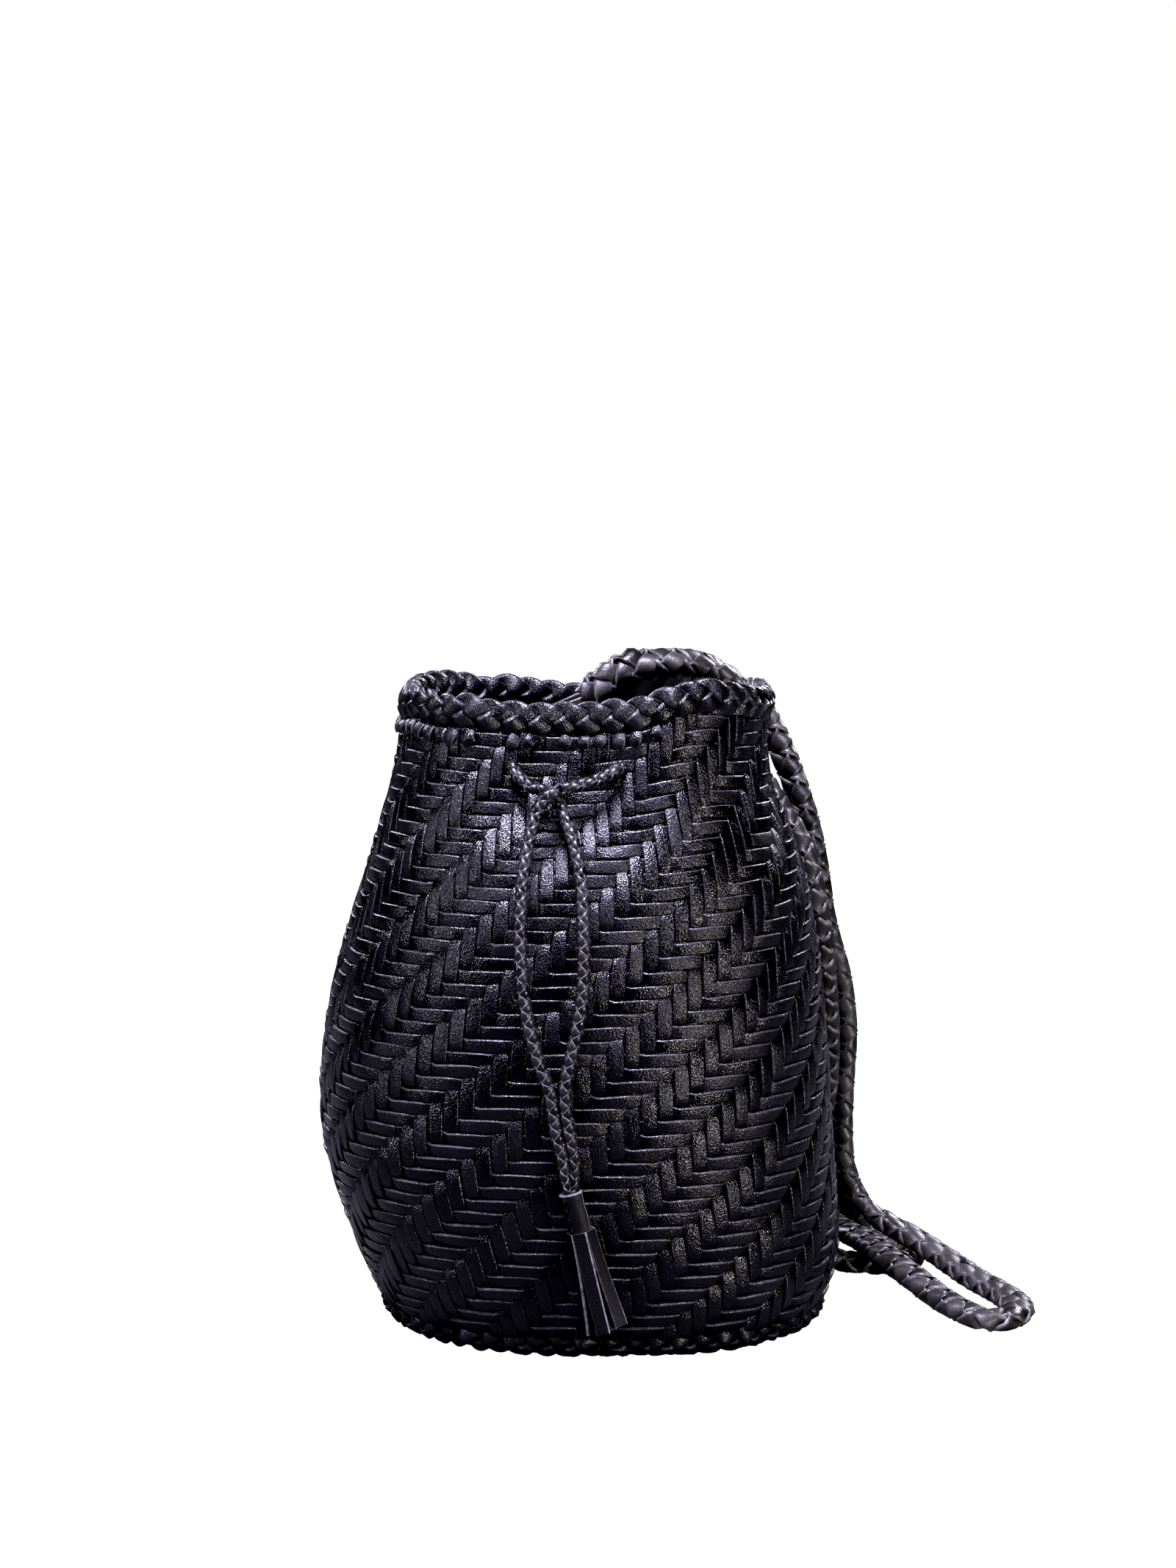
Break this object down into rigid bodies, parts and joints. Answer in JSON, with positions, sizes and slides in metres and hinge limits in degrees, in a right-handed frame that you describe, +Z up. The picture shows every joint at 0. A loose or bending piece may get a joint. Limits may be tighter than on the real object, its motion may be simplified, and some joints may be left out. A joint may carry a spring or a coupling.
{
  "type": "bucket bag",
  "caption": "Open-topped bucket bag of hand-woven black leather strips with a plaited rim and base border, a braided shoulder strap and a tasselled drawstring.",
  "frame": {"origin": "middle of the bag's base, on the surface it stands on", "axes": "+Z up from base to mouth, +Y towards the back, +X to the right seen from the front"},
  "size_m": [0.2615, 0.2332, 0.2416],
  "materials": {
    "base_leather": "matt black leather",
    "border_leather": "semi-gloss black leather with raw cut edges",
    "warp_leather": "semi-gloss black leather, fine grain",
    "weft_leather": "semi-gloss black leather, fine grain, creased",
    "strap_leather": "semi-gloss black leather strands",
    "cord_leather": "satin black leather strands",
    "tassel_leather": "semi-gloss black leather, thin cut strips"
  },
  "bodies": {
    "bag": {"base_panel": "base_leather", "base_border": "border_leather", "warp_strips": "warp_leather", "weft_01": "weft_leather", "weft_02": "weft_leather", "weft_03": "weft_leather", "weft_04": "weft_leather", "weft_05": "weft_leather", "weft_06": "weft_leather", "weft_07": "weft_leather", "weft_08": "weft_leather", "weft_09": "weft_leather", "weft_10": "weft_leather", "weft_11": "weft_leather", "weft_12": "weft_leather", "weft_13": "weft_leather", "weft_14": "weft_leather", "weft_15": "weft_leather", "weft_16": "weft_leather", "weft_17": "weft_leather", "weft_18": "weft_leather", "weft_19": "weft_leather", "weft_20": "weft_leather", "weft_21": "weft_leather", "weft_22": "weft_leather", "weft_23": "weft_leather", "weft_24": "weft_leather", "weft_25": "weft_leather", "weft_26": "weft_leather", "weft_27": "weft_leather", "weft_28": "weft_leather", "weft_29": "weft_leather", "weft_30": "weft_leather", "weft_31": "weft_leather", "weft_32": "weft_leather", "weft_33": "weft_leather", "weft_34": "weft_leather", "weft_35": "weft_leather", "weft_36": "weft_leather", "weft_37": "weft_leather", "weft_38": "weft_leather", "weft_39": "weft_leather", "weft_40": "weft_leather", "weft_41": "weft_leather", "weft_42": "weft_leather", "rim_tabs": "border_leather", "rim_plait_lower": "border_leather", "rim_plait_upper": "border_leather", "strap": "strap_leather", "strap_root_inside": "strap_leather", "strap_root_outside": "strap_leather", "drawstring_ring": "cord_leather", "drawstring_front": "cord_leather"},
    "drawstring_tails": {"tail_left": "cord_leather", "tail_right": "cord_leather"},
    "tassel": {"tassel_cap": "tassel_leather", "tassel_knot": "cord_leather", "tassel_fringe": "tassel_leather"}
  },
  "joints": [
    {"name": "tails_lift", "type": "hinge", "parent": "bag", "child": "drawstring_tails", "pos_m": [-0.0085, -0.0655, 0.202], "axis": [-1, 0, 0], "range_deg": [0, 85]},
    {"name": "tassel_swing", "type": "hinge", "parent": "drawstring_tails", "child": "tassel", "pos_m": [-0.0026, -0.0976, 0.0682], "axis": [0, 1, 0], "range_deg": [-25, 50]}
  ]
}
